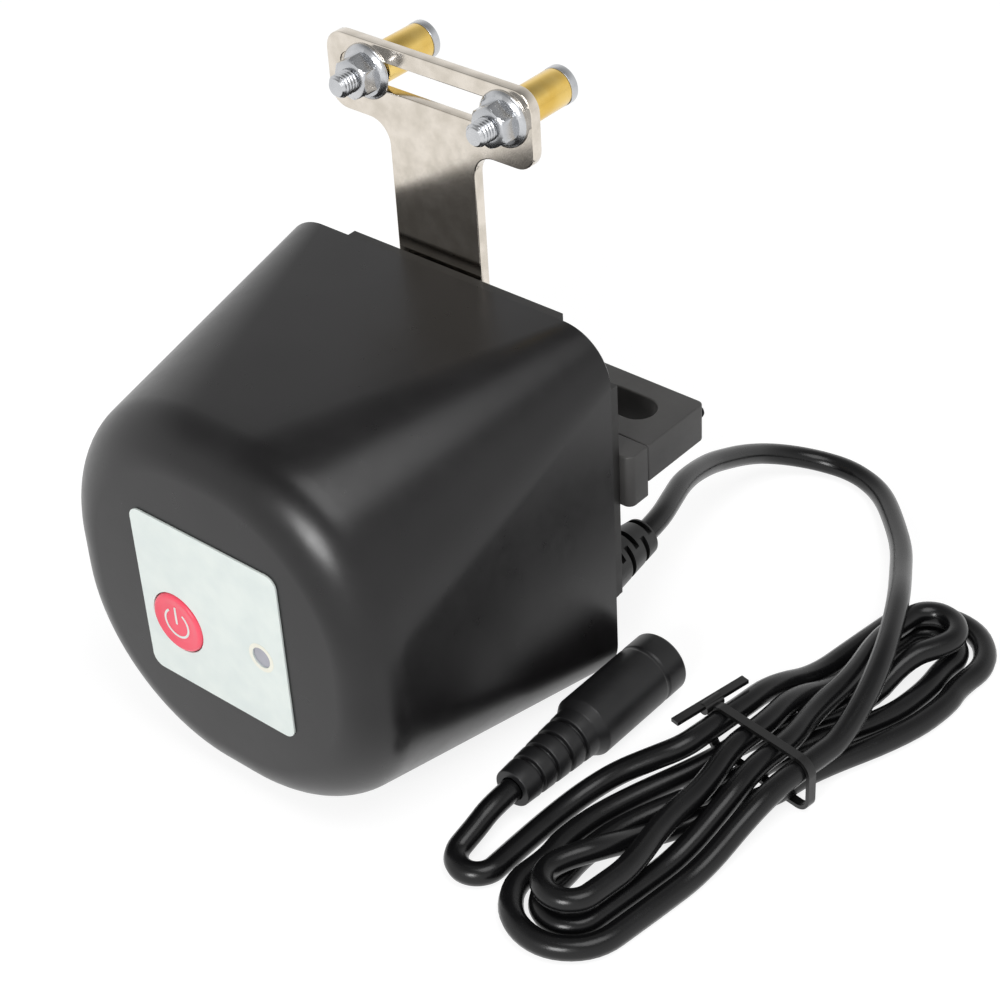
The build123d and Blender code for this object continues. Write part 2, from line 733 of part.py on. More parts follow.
with BuildPart() as clamp_arm:
    block(base_left, base_right, base_back, clamp_back, clamp_low, base_top)
    fillet(edges().filter_by(Axis.Z).sort_by(Axis.Y)[-2:], radius=clamp_corner)
    with BuildSketch(Plane.XY.offset(case_z + clamp_low)):
        with Locations((case_x + strap_x, front_y + strap_y + strap_deep / 2)):
            SlotOverall(strap_wide, strap_deep)
    extrude(amount=base_top - clamp_low, mode=Mode.SUBTRACT)
    for px in clamp_screw_x:
        rod(m3_shank, base_back, clamp_back, px, clamp_screw_z, Mode.SUBTRACT)
save(clamp_arm.part, "clamp_arm")

with BuildPart() as clamp_screws:
    for px in clamp_screw_x:
        rod(m3_head, pad_top + clamp_recess_depth - m3_head_depth, pad_top + clamp_recess_depth,
            px, clamp_screw_z)
        rod(m3_shank - seat_gap, pad_top + clamp_recess_depth, clamp_back + clamp_screw_tip, px, clamp_screw_z)
save(clamp_screws.part, "clamp_screws")

with BuildPart() as base_screws:
    for px in base_screw_x:
        rod(m3_head, plate_y - m3_head_depth, plate_y, px, base_screw_z)
        rod(m3_pilot - seat_gap, plate_y, pad_top + base_screw_grip - overrun, px, base_screw_z)
save(base_screws.part, "base_screws")

# Cord gland: foot inside, neck through the closure, tapered relief with staggered windows
gland_end = pad_top + gland_length
with BuildPart() as cord_gland:
    block(gland_x - gland_foot[0] / 2, gland_x + gland_foot[0] / 2, plate_y - gland_foot[2], plate_y,
          gland_z - gland_foot[1] / 2, gland_z + gland_foot[1] / 2)
    rod(gland_neck, plate_y, pad_top, gland_x, gland_z)
    with Locations(along(pad_top, gland_x, gland_z)):
        Cone(bottom_radius=gland_base_radius, top_radius=gland_tip_radius, height=gland_length,
             align=(Align.CENTER, Align.CENTER, Align.MIN))
    for n in range(window_count):
        y0 = pad_top + window_start + n * window_pitch
        reach = gland_base_radius + overrun
        for side in (-1, 1):
            near, far = sorted((side * gland_core, side * reach))
            if n % 2:
                block(gland_x + near, gland_x + far, y0, y0 + window_wide, gland_z - reach, gland_z + reach,
                      Mode.SUBTRACT)
            else:
                block(gland_x - reach, gland_x + reach, y0, y0 + window_wide, gland_z + near, gland_z + far,
                      Mode.SUBTRACT)
save(cord_gland.part, "cord_gland")

# Bundle: points of one unbroken tube in the bundle's own axes
along_x = math.sin(math.radians(hank_angle))
along_y = math.cos(math.radians(hank_angle))
along_u = Vector(along_x, along_y, 0)
across_v = Vector(along_y, -along_x, 0)
level_low = cord_radius + floor_gap
lower = -1
upper = 1


def hank_point(u, v, level, lifted):
    height = level_low + level * level_step + (waist_lift if lifted else 0)
    return Vector(hank_x, hank_y, height) + along_u * u + across_v * v


def half_strand(side, across, shares, outs, levels):
    # From the lobe to the waist, at the stations' shares of the lobe's distance
    last = len(shares) - 1
    return [hank_point(side * lobe_at * shares[i], across * outs[i], levels[i], i == last)
            for i in range(last + 1)]


def over(side, outs, levels):
    return half_strand(side, -side, station_shares, outs, levels)


def under(side, outs, levels):
    return half_strand(side, side, station_shares[:3] + station_shares[-1:], outs, levels)


def halved(points):
    # Points with the middle of each step put in, so that each shift is two equal arcs
    rows = [points[0]]
    for a, b in zip(points, points[1:]):
        rows += [(a + b) / 2, b]
    return rows


def loop(side, coming, leaving):
    # Half strand out to the lobe, half turn, half strand back to the waist
    start, end = coming[0], leaving[0]
    apex = (start + end) / 2 + along_u * (side * (end - start).length / 2)
    return halved(coming[::-1]) + [apex] + halved(leaving)


def trace(points, heading):
    # Lines and arcs through the points, each tangent to the one before
    for a, b in zip(points, points[1:]):
        chord = (b - a).normalized()
        if heading.get_angle(chord) < straight_angle:
            Line(a, b)
        else:
            TangentArc(a, b, tangent=heading)
        heading = chord * (2 * heading.dot(chord)) - heading


waist_u = lobe_at * station_shares[-1]
entry = hank_point(waist_u, over_outer[-1], 1, True)
leave = hank_point(-waist_u, -over_outer[-1], 1, True)
hank_points = (
    [entry]
    + loop(lower, over(lower, over_outer, low_then_high), under(lower, under_outer, all_low))
    + loop(upper, under(upper, under_inner, high_then_low), over(upper, over_inner, all_high))
    + loop(lower, over(lower, over_middle, low_then_high), under(lower, under_middle, all_low))
    + loop(upper, under(upper, under_middle, all_low), over(upper, over_middle, low_then_high))
    + loop(lower, over(lower, over_inner, all_high), under(lower, under_inner, high_then_low))
    + loop(upper, under(upper, under_outer, all_low), over(upper, over_outer, low_then_high))
    + [leave]
)
with BuildPart() as cord_hank:
    with BuildLine() as hank_line:
        trace(hank_points, -along_u)
    with BuildSketch(Plane(origin=entry, z_dir=-along_u)):
        Circle(cord_radius)
    sweep()
save(cord_hank.part, "cord_hank")


def run_radii(points):
    # Bend radius at each inner point, from the shorter of its two runs
    rows = []
    for a, b, c in zip(points, points[1:], points[2:]):
        turn = math.radians((b - a).get_angle(c - b))
        rows.append(run_share * min((b - a).length, (c - b).length) / math.tan(turn / 2))
    return rows


def free_cord(points, name):
    radii = run_radii(points)
    with BuildPart() as cord:
        with BuildLine() as path:
            FilletPolyline(*points, radius=radii)
        with BuildSketch(Plane(origin=points[0], z_dir=points[1] - points[0])):
            Circle(cord_radius)
        sweep()
    save(cord.part, name)
    print(name, "length", round(path.wire().length, 1), "least bend", round(min(radii), 1),
          "volume share", round(cord.part.volume / (path.wire().length * math.pi * cord_radius ** 2), 3))


gland_tip = Vector(case_x + gland_x, front_y + gland_end, case_z + gland_z)
lead_points = [gland_tip] + [Vector(*p) for p in lead_route] + [entry + along_u * lead_straight, entry]
free_cord(lead_points, "cord_lead")
jack_back = Vector(jack_x, jack_start, barrel_radius + floor_gap)
tail_points = [leave, leave - along_u * lead_straight] + [Vector(*p) for p in tail_route] + [jack_back]
free_cord(tail_points, "cord_tail")
print("cord_hank length", round(hank_line.wire().length, 1),
      "volume share", round(cord_hank.part.volume / (hank_line.wire().length * math.pi * cord_radius ** 2), 3))

# Tie: band round the bundle's waist, twist and straight tail
tie_middle = (tie_low + tie_high) / 2
with BuildPart() as hank_tie:
    with BuildSketch(Plane(origin=Vector(hank_x, hank_y, tie_middle) - along_u * (tie_wide / 2),
                           x_dir=across_v, z_dir=along_u)):
        RectangleRounded(2 * tie_half, tie_high - tie_low, tie_corner)
        RectangleRounded(2 * tie_half - 2 * tie_thick, tie_high - tie_low - 2 * tie_thick,
                         tie_corner - tie_thick, mode=Mode.SUBTRACT)
    extrude(amount=tie_wide)
    tail_run = Vector(*tie_tail_end) - Vector(*tie_tail_start)
    with BuildSketch(Plane(origin=tie_tail_start, x_dir=(1, 0, 0), z_dir=tail_run)):
        Rectangle(tie_wide, tie_thick)
    extrude(amount=tail_run.length)
    knot = Vector(hank_x, hank_y, tie_knot_z) - across_v * tie_knot_out - along_u * (tie_knot_length / 2)
    with BuildSketch(Plane(origin=knot, x_dir=across_v, z_dir=along_u)):
        Circle(tie_knot_radius)
    extrude(amount=tie_knot_length)
save(hank_tie.part, "hank_tie")


# Inline socket on the end of the lead
def jack_rod(radius, y0, y1, mode=Mode.ADD):
    with Locations(Plane(origin=(jack_x, y0, jack_back.Z), x_dir=(1, 0, 0), z_dir=(0, 1, 0))):
        Cylinder(radius=radius, height=y1 - y0, align=(Align.CENTER, Align.CENTER, Align.MIN), mode=mode)


shoulder_y = jack_start + relief_length
ring_step = relief_length / (relief_rings + 1)
with BuildPart() as jack_body:
    with Locations(Plane(origin=jack_back, x_dir=(1, 0, 0), z_dir=(0, 1, 0))):
        Cone(bottom_radius=relief_radius, top_radius=relief_end, height=relief_length,
             align=(Align.CENTER, Align.CENTER, Align.MIN))
    for n in range(relief_rings):
        groove_y = jack_start + (n + 1) * ring_step
        groove_core = relief_radius + (relief_end - relief_radius) * (n + 1) / (relief_rings + 1)
        jack_rod(relief_end + overrun, groove_y, groove_y + relief_groove, Mode.SUBTRACT)
        jack_rod(groove_core - relief_groove_depth, groove_y, groove_y + relief_groove)
    with Locations(Plane(origin=(jack_x, shoulder_y, jack_back.Z), x_dir=(1, 0, 0), z_dir=(0, 1, 0))):
        Cone(bottom_radius=relief_end, top_radius=barrel_radius, height=shoulder,
             align=(Align.CENTER, Align.CENTER, Align.MIN))
    jack_rod(barrel_radius, shoulder_y + shoulder, barrel_end)
    chamfer(jack_body.faces().sort_by(Axis.Y)[-1].edges(), length=barrel_edge)
    jack_rod(socket_radius, barrel_end - insert_length - overrun, barrel_end, Mode.SUBTRACT)
save(jack_body.part, "jack_body")

insert_front = barrel_end - insert_length - overrun
with BuildPart() as jack_insert:
    jack_rod(socket_radius - seat_gap, insert_front, barrel_end - overrun)
    jack_rod(socket_bore, barrel_end - overrun - socket_depth, barrel_end - overrun, Mode.SUBTRACT)
save(jack_insert.part, "jack_insert")

with BuildPart() as jack_pin:
    jack_rod(pin_radius, barrel_end - overrun - socket_depth, barrel_end - overrun - pin_short)
save(jack_pin.part, "jack_pin")
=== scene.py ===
import json
import math

import bmesh
import bpy
from bpy.props import FloatProperty, FloatVectorProperty, IntProperty, PointerProperty
from mathutils import Matrix, Vector


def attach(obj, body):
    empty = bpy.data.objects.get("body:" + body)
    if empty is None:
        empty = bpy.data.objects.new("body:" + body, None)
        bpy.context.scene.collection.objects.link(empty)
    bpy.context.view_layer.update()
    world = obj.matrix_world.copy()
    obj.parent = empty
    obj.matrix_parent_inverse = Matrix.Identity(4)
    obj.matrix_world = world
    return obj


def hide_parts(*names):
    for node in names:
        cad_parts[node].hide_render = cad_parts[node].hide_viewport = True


bl_info = {
    "name": "Valve Controller",
    "version": (1, 0, 0),
    "blender": (4, 5, 0),
    "location": "View3D > Sidebar > Valve Controller",
    "description": "Dresses a motorised valve controller with its arm, bracket and coiled lead",
    "category": "Object",
}

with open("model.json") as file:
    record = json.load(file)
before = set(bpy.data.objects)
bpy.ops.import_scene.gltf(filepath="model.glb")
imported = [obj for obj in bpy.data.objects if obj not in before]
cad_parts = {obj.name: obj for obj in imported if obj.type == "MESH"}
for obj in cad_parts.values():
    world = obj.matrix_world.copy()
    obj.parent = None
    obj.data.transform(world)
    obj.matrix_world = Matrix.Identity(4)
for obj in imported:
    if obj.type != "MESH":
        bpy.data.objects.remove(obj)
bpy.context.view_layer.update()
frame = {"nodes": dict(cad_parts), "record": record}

MM = 0.001
TURN = 2 * math.pi

# The middle of the housing's front face in the shared frame, in millimetres
CASE_X, FRONT_Y, CASE_Z = -1.0, -51.0, 43.95
# Places in millimetres from that middle, as in the part's source
SHAFT_X = -2.8
ARM_Y, ARM_THICK = 75.3, 2.5
ARM_BACK = ARM_Y + ARM_THICK
SLOT_Z = 81.75
STUDS = {"left": -18.8, "right": 16.8}
BUTTON_X, BUTTON_Z = -10.0, -5.4
LENS_X, LENS_Z = 13.7, -2.6
COVER_SCREW_REACH = 36.0
CLAMP_SCREWS, CLAMP_SCREW_Z = (20.0, 42.6), 9.5
# Radius at which a capped profile starts and ends, just off its axis
AXIS = 0.01


def at(x, y, z):
    """A place in the frame in metres, from millimetres off the housing's front."""
    return Vector((x + CASE_X, y + FRONT_Y, z + CASE_Z)) * MM


# Looks

def linear(code):
    """Linear colour from an sRGB hex code."""
    rows = [int(code[i:i + 2], 16) / 255 for i in (1, 3, 5)]
    return tuple(c / 12.92 if c <= 0.04045 else ((c + 0.055) / 1.055) ** 2.4 for c in rows) + (1.0,)


def put(tree, kind, sockets=None, **settings):
    """Add a node with its settings; a socket value that is an output is linked."""
    made = tree.nodes.new(kind)
    for key, value in settings.items():
        setattr(made, key, value)
    for key, value in (sockets or {}).items():
        if isinstance(value, bpy.types.NodeSocket):
            tree.links.new(value, made.inputs[key])
        else:
            made.inputs[key].default_value = value
    return made


def per_mm(size):
    """Pattern scale for a feature of a real size in millimetres."""
    return 1.0 / (size * MM)


def start_material(name):
    """An empty material with a surface shader, and its object coordinates."""
    made = bpy.data.materials.new(name)
    made.use_nodes = True
    tree = made.node_tree
    tree.nodes.clear()
    shader = put(tree, "ShaderNodeBsdfPrincipled")
    put(tree, "ShaderNodeOutputMaterial", {"Surface": shader.outputs["BSDF"]})
    place = put(tree, "ShaderNodeTexCoord").outputs["Object"]
    return made, tree, shader, place


def finish_surface(tree, shader, tones, rough, slow, fine, rub, wear, strength, depth):
    """Shade from the slow noise, relief from the fine one, and roughness from the rub."""
    shade = put(tree, "ShaderNodeMapRange", {"Value": slow.outputs["Fac"],
                                             "From Min": 0.35, "From Max": 0.65})
    colour = put(tree, "ShaderNodeMix", {0: shade.outputs["Result"], 6: linear(tones[0]),
                                         7: linear(tones[1])}, data_type="RGBA")
    worn = put(tree, "ShaderNodeMapRange", {"Value": rub.outputs["Fac"],
                                            "From Min": 0.3, "From Max": 0.7,
                                            "To Min": rough * (1 - wear),
                                            "To Max": rough * (1 + wear)})
    bump = put(tree, "ShaderNodeBump", {"Height": fine.outputs["Fac"], "Strength": strength,
                                        "Distance": depth * MM})
    tree.links.new(colour.outputs[2], shader.inputs["Base Color"])
    tree.links.new(worn.outputs["Result"], shader.inputs["Roughness"])
    tree.links.new(bump.outputs["Normal"], shader.inputs["Normal"])


def moulded(name, dark, light, rough, grain, depth, ior=1.5, flow=18.0, gloss=0.5):
    """Moulded polymer: fine tool grain, slow changes of shade, and rubbed high spots."""
    made, tree, shader, place = start_material(name)
    slow = put(tree, "ShaderNodeTexNoise", {"Vector": place, "Scale": per_mm(flow),
                                            "Detail": 3.0})
    fine = put(tree, "ShaderNodeTexNoise", {"Vector": place, "Scale": per_mm(grain),
                                            "Detail": 2.0, "Roughness": 0.6})
    rub = put(tree, "ShaderNodeTexNoise", {"Vector": place, "Scale": per_mm(flow / 4),
                                           "Detail": 5.0, "Roughness": 0.7})
    finish_surface(tree, shader, (dark, light), rough, slow, fine, rub, 0.1, 0.5, depth)
    shader.inputs["IOR"].default_value = ior
    shader.inputs["Specular IOR Level"].default_value = gloss
    return made


def metal(name, dark, light, rough, grain, depth, stretch=(1.0, 1.0, 1.0), flow=9.0):
    """Metal with a drawn, turned or plated grain, stretched along an axis."""
    made, tree, shader, place = start_material(name)
    along = put(tree, "ShaderNodeMapping", {"Vector": place, "Scale": stretch})
    fine = put(tree, "ShaderNodeTexNoise", {"Vector": along.outputs["Vector"],
                                            "Scale": per_mm(grain), "Detail": 3.0,
                                            "Roughness": 0.6})
    slow = put(tree, "ShaderNodeTexNoise", {"Vector": place, "Scale": per_mm(flow),
                                            "Detail": 4.0})
    finish_surface(tree, shader, (dark, light), rough, slow, fine, fine, 0.25, 0.4, depth)
    shader.inputs["Metallic"].default_value = 1.0
    return made


LOOKS = {}


def look(slot):
    """The material of one of the record's slots, made when first asked for."""
    if slot not in LOOKS:
        LOOKS[slot] = MAKERS[slot]()
    return LOOKS[slot]


MAKERS = {
    # ABS, spark-eroded tool: even satin black, its grain spreads the lamps to broad soft patches
    "housing_black": lambda: moulded(
        "abs_satin_moulded", "#100F10", "#151415", 0.3, 0.35, 0.012, gloss=0.4),
    # ABS, plain tool: the closure behind the housing, a little greyer and flatter
    "cover_black": lambda: moulded("abs_plain_moulded", "#161515", "#1D1C1B", 0.5, 0.5, 0.02),
    # Polyester film, screen printed: pale mint white with a faint mottle and a soft sheen
    "label_film": lambda: moulded(
        "polyester_film_printed", "#CCD4D1", "#D3DAD6", 0.34, 0.25, 0.003, 1.49, 6.0),
    # Polyester film, cream ink: a warm ring on the label
    "ring_cream": lambda: moulded(
        "polyester_film_cream_ink", "#DAD8CA", "#DEDDD1", 0.4, 0.25, 0.003, 1.49, 3.0),
    # Acrylic button, injection moulded: clear even red with a bright gloss
    "button_red": lambda: moulded(
        "acrylic_red_moulded", "#DC4258", "#E54D62", 0.22, 0.4, 0.004, 1.49, 8.0),
    # Polycarbonate window, tinted: a grey disc with a clear gloss
    "lens_grey": lambda: moulded(
        "polycarbonate_tinted", "#92929B", "#9C9CA5", 0.18, 0.3, 0.002, 1.58, 4.0),
    # Steel sheet, nickel plated: warm bright silver with small soft clouds in the plating
    "nickel_sheet": lambda: metal(
        "steel_nickel_plated", "#CEC6BA", "#E0D8CD", 0.14, 0.25, 0.006, (1.0, 1.0, 0.5), 4.0),
    # Steel, bright zinc plated: cool silver with faint clouding
    "zinc_steel": lambda: metal("steel_zinc_plated", "#B8BABD", "#CDCED0", 0.24, 0.2, 0.004),
    # Steel, black oxide: near black metal that still glints on its threads
    "black_oxide": lambda: metal("steel_black_oxide", "#2A2A2B", "#3A3A3C", 0.34, 0.2, 0.004),
    # Brass, turned: yellow, with fine tool marks
    "brass": lambda: metal(
        "brass_turned", "#DCB65A", "#EDCF80", 0.2, 0.1, 0.004, (0.2, 4.0, 0.2)),
    # Glass-filled nylon, moulded: a dull dark grey black with a coarse grain
    "bracket_black": lambda: moulded(
        "nylon_filled_moulded", "#2E2D2D", "#393837", 0.5, 0.45, 0.02, 1.53),
    # Soft PVC, overmoulded: the cord relief, even satin black
    "gland_black": lambda: moulded(
        "pvc_relief_overmoulded", "#121212", "#191919", 0.42, 0.3, 0.01),
    # PVC, extruded: the lead's jacket, glossy black with slight draw lines
    "cord_black": lambda: moulded(
        "pvc_jacket_extruded", "#0A0A0B", "#0F0F10", 0.26, 0.9, 0.02, 1.53, 12.0, 0.32),
    # PVC over wire, extruded: the tie, black with a waxy gloss
    "tie_black": lambda: moulded("pvc_tie_extruded", "#0E0E0E", "#151515", 0.33, 0.3, 0.01),
    # PVC, overmoulded: the inline socket, a satin charcoal
    "jack_black": lambda: moulded(
        "pvc_socket_overmoulded", "#121213", "#181819", 0.4, 0.3, 0.01, gloss=0.4),
    # Brass, nickel plated: the centre pin, bright silver
    "contact_metal": lambda: metal("brass_nickel_plated", "#C6C6C6", "#D6D5D2", 0.16, 0.1, 0.002),
    # Steel can, drawn and tinned: the motor and the radio's shield, soft silver
    "motor_steel": lambda: metal(
        "steel_tinned_drawn", "#A9AAAB", "#BABBBB", 0.32, 0.3, 0.005, (1.0, 0.1, 1.0)),
    # Acetal, machined: white gears with a waxy surface
    "gear_acetal": lambda: moulded(
        "acetal_moulded", "#DAD8CF", "#E4E2DA", 0.38, 0.3, 0.006, 1.48),
    # Steel, machined: gears, shaft and plates, mid grey with cutter lines
    "gear_steel": lambda: metal(
        "steel_machined", "#8E8F90", "#A3A3A3", 0.34, 0.15, 0.005, (1.0, 0.2, 1.0)),
    # Bronze, sintered: the bush, brown with open pores
    "bronze": lambda: metal("bronze_sintered", "#8A6336", "#A0774A", 0.45, 0.12, 0.02),
    # Nitrile rubber, pressed: gasket and shaft seal, dead black
    "seal_rubber": lambda: moulded("nitrile_pressed", "#121212", "#181818", 0.7, 0.3, 0.02, 1.52),
    # Glass epoxy, solder masked: green with the weave just showing
    "board_green": lambda: moulded(
        "epoxy_solder_masked", "#12502B", "#1A6436", 0.35, 0.6, 0.01, 1.52, 3.0),
    # Polyester, moulded: the relay cases, blue
    "relay_blue": lambda: moulded(
        "polyester_relay_moulded", "#1B4A9A", "#2557AC", 0.35, 0.3, 0.006),
}


# Shapes

def smooth(mesh, angle=32.0):
    """Smooth shading, with edges over the angle left sharp."""
    mesh.shade_smooth()
    mesh.set_sharp_from_angle(angle=math.radians(angle))


def fit(name, data, slot, body, *nodes, finish=None):
    """Put a piece on its body in its slot's finish, or another, in the place of its solids."""
    piece = bpy.data.objects.new(name, data)
    bpy.context.scene.collection.objects.link(piece)
    data.materials.clear()
    data.materials.append(look(finish or slot))
    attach(piece, body)
    if nodes:
        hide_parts(*nodes)
    return piece


def eased(profile, radius, closed=False, steps=3):
    """Profile with each corner rounded by a small arc."""
    edge_share = 0.4
    rows = []
    last = len(profile) - 1
    for i, corner in enumerate(profile):
        if not closed and i in (0, last):
            rows.append(corner)
            continue
        p = Vector(corner)
        a = Vector(profile[i - 1])
        b = Vector(profile[(i + 1) % len(profile)])
        back = min(radius, (a - p).length * edge_share)
        ahead = min(radius, (b - p).length * edge_share)
        start = p + (a - p).normalized() * back
        end = p + (b - p).normalized() * ahead
        for k in range(steps + 1):
            t = k / steps
            rows.append(tuple(start * (1 - t) ** 2 + p * (2 * t * (1 - t)) + end * t ** 2))
    return rows


def tidy_normals(mesh):
    """Turn every face outward."""
    work = bmesh.new()
    work.from_mesh(mesh)
    bmesh.ops.recalc_face_normals(work, faces=work.faces)
    work.to_mesh(mesh)
    work.free()


def ring_faces(rows, count, closed=False):
    """Faces between rows of points, closed by caps or by joining the last row to the first."""
    faces = []
    for i in range(rows if closed else rows - 1):
        j = (i + 1) % rows
        for k in range(count):
            m = (k + 1) % count
            faces.append((i * count + k, i * count + m, j * count + m, j * count + k))
    if not closed:
        faces.append(tuple(range(count))[::-1])
        faces.append(tuple((rows - 1) * count + k for k in range(count)))
    return faces


def turned(name, profile, centre, closed=False, segments=64, radius_of=None):
    """Mesh turned round a line along Y from rows of (place along it, radius) in millimetres."""
    verts = []
    for y, r in profile:
        for k in range(segments):
            t = TURN * k / segments
            s = radius_of(y, r, t) if radius_of else r
            verts.append(centre + Vector((s * math.cos(t) * MM, y * MM, s * math.sin(t) * MM)))
    mesh = bpy.data.meshes.new(name)
    mesh.from_pydata([tuple(v) for v in verts], [], ring_faces(len(profile), segments, closed))
    mesh.validate()
    tidy_normals(mesh)
    smooth(mesh)
    return mesh


def arc(cx, cy, radius, start, end, steps=8):
    """Points of an arc, angles in degrees."""
    return [(cx + radius * math.cos(math.radians(start + (end - start) * k / steps)),
             cy + radius * math.sin(math.radians(start + (end - start) * k / steps)))
            for k in range(steps + 1)]


def circle(cx, cy, radius, count=48):
    """Points of a whole circle."""
    return arc(cx, cy, radius, 0, 360 - 360 / count, count - 1)


def rounded_box_outline(x0, x1, y0, y1, radii):
    """Outline of a rectangle with a radius at each corner, from lower left round to the left."""
    a, b, c, d = radii
    rows = []
    for (cx, cy, r, s) in ((x0 + a, y0 + a, a, 180), (x1 - b, y0 + b, b, 270),
                           (x1 - c, y1 - c, c, 0), (x0 + d, y1 - d, d, 90)):
        rows += arc(cx, cy, r, s, s + 90)
    return rows


def slab(name, loops, thick, edge, turn):
    """Flat piece from outlines in millimetres, its edges rounded, placed by a matrix."""
    curve = bpy.data.curves.new(name, "CURVE")
    curve.dimensions = "2D"
    curve.fill_mode = "BOTH"
    curve.extrude = (thick / 2 - edge) * MM
    curve.bevel_depth = edge * MM
    curve.bevel_resolution = 2
    curve.offset = -edge * MM
    for loop in loops:
        spline = curve.splines.new("POLY")
        spline.points.add(len(loop) - 1)
        for point, (x, y) in zip(spline.points, loop):
            point.co = (x * MM, y * MM, 0, 1)
        spline.use_cyclic_u = True
    holder = bpy.data.objects.new(name + "_outline", curve)
    bpy.context.scene.collection.objects.link(holder)
    bpy.context.view_layer.update()
    graph = bpy.context.evaluated_depsgraph_get()
    mesh = bpy.data.meshes.new_from_object(holder.evaluated_get(graph))
    bpy.data.objects.remove(holder)
    bpy.data.curves.remove(curve)
    mesh.name = name
    mesh.transform(turn)
    smooth(mesh)
    return mesh


def upright(y, x=0, z=0):
    """Matrix that stands a flat outline up, its middle at a depth behind the front."""
    return Matrix.Translation(at(x, y, z)) @ Matrix.Rotation(math.radians(90), 4, "X")


def level(z):
    """Matrix that lays a flat outline level, its middle at a height; its Y is the depth."""
    return Matrix.Translation(at(0, 0, z))


def threaded(name, x, z, y0, y1, major, pitch, tip_behind=False):
    """Threaded rod along Y with a chamfered tip in front, or behind."""
    steps = 10
    rows = int((y1 - y0) / pitch * steps)
    minor = major - 0.61 * pitch
    crest, flank, tip_drop, tip_slope = 0.12, 0.7, 0.15, 0.9

    def radius_of(y, r, t):
        phase = (y / pitch - t / TURN) % 1.0
        groove = abs(phase - 0.5) * 2
        cut = min(1.0, max(0.0, (groove - crest) / flank))
        from_tip = y1 - y0 - y if tip_behind else y
        lead = min(major, minor - tip_drop + from_tip * tip_slope)
        return min(lead, minor + (major - minor) * (1 - cut))

    profile = [(k * (y1 - y0) / rows, major) for k in range(rows + 1)]
    return turned(name, profile, at(x, y0, z), segments=48, radius_of=radius_of)


def join(name, meshes):
    """One mesh from several."""
    work = bmesh.new()
    for part in meshes:
        work.from_mesh(part)
    mesh = bpy.data.meshes.new(name)
    work.to_mesh(mesh)
    work.free()
    smooth(mesh)
    return mesh


# Lead: control points in metres as (x, y, z), along the route of the part's lead

LEAD_ROUTE = [
    (0.0355, 0.0392, 0.0253), (0.0353, 0.0455, 0.0258), (0.0323, 0.0541, 0.0249),
    (0.0287, 0.0634, 0.0232), (0.025, 0.0773, 0.0177), (0.0243, 0.0853, 0.0143),
    (0.0242, 0.093, 0.011), (0.025, 0.1002, 0.0076), (0.0286, 0.1064, 0.0049),
    (0.0344, 0.1106, 0.0032), (0.0414, 0.1121, 0.0027), (0.0484, 0.1106, 0.0026),
    (0.0545, 0.1068, 0.003), (0.0624, 0.0984, 0.0046), (0.0702, 0.0889, 0.0069),
    (0.0764, 0.0785, 0.0096), (0.083, 0.0671, 0.0136), (0.0875, 0.0578, 0.0145),
    (0.0917, 0.0475, 0.0145), (0.0946, 0.0366, 0.0124),
]
TAIL_ROUTE = [
    (0.068, -0.0004, 0.008), (0.0633, -0.0059, 0.0056), (0.0602, -0.0126, 0.0034),
    (0.059, -0.0208, 0.0026), (0.0588, -0.0295, 0.0026), (0.0588, -0.0378, 0.0026),
    (0.0588, -0.0402, 0.0026), (0.0576, -0.0422, 0.0026), (0.0556, -0.0434, 0.0026),
    (0.0532, -0.0434, 0.0026), (0.0512, -0.0422, 0.0028), (0.05, -0.0402, 0.0031),
    (0.05, -0.0378, 0.0038), (0.0502, -0.0345, 0.005), (0.0504, -0.0298, 0.0071),
    (0.0504, -0.0235, 0.0071),
]
# The tied bundle in millimetres: its middle, its heading off Y in degrees, and a lobe's reach
HANK_X, HANK_Y, HANK_ANGLE, LOBE_AT = 84.0, 14.7, 8.1, 52.5
# Height of the lower strands, the step to the upper ones, the lift at the waist, and the
# straight length at each end
LEVEL_LOW, LEVEL_STEP, WAIST_LIFT, LEAD_STRAIGHT = 2.6, 6.1, 1.0, 6.4
# Stations from a lobe to the waist, as shares of its reach, and each strand's place across
STATIONS = (1.0, 0.8, 0.55, 0.3, 0.1)
OVER = {
    "outer": (11.8, 11.8, 11.6, 11.5, 10.5),
    "middle": (6.0, 6.0, 5.9, 5.9, 3.5),
    "inner": (5.5, 5.5, 1.2, 0.0, -3.5),
}
UNDER = {
    "outer": (11.8, 13.7, 13.7, 7.7),
    "middle": (6.0, 8.0, 8.0, 0.0),
    "inner": (5.5, 2.2, 2.2, -7.7),
}
# Levels of a strand at its stations: 0 is the lower one, 1 the upper one
CLIMB, HIGH, LOW, SINK = (0, 0, 0, 1, 1), (1, 1, 1, 1, 1), (0, 0, 0, 0), (1, 1, 0, 0)
# Each loop: side of its lobe, kind, lane and levels of the strand out, and of the one back
LOOPS = (
    (-1, "over", "outer", CLIMB, "under", "outer", LOW),
    (1, "under", "inner", SINK, "over", "inner", HIGH),
    (-1, "over", "middle", CLIMB, "under", "middle", LOW),
    (1, "under", "middle", LOW, "over", "middle", CLIMB),
    (-1, "over", "inner", HIGH, "under", "inner", SINK),
    (1, "under", "outer", LOW, "over", "outer", CLIMB),
)
# Control points of a half turn, in radii along the bundle and across it; 0.414 keeps it round
HALF_TURN = ((-0.414, 1.0), (0.414, 1.0), (1.0, 0.414),
             (1.0, -0.414), (0.414, -1.0), (-0.414, -1.0))


def hank_spot(u, v, level, lifted):
    """A place in the bundle, from its own axes in millimetres to metres."""
    s, c = math.sin(math.radians(HANK_ANGLE)), math.cos(math.radians(HANK_ANGLE))
    height = LEVEL_LOW + level * LEVEL_STEP + (WAIST_LIFT if lifted else 0)
    return Vector((HANK_X + u * s + v * c, HANK_Y + u * c - v * s, height)) * MM


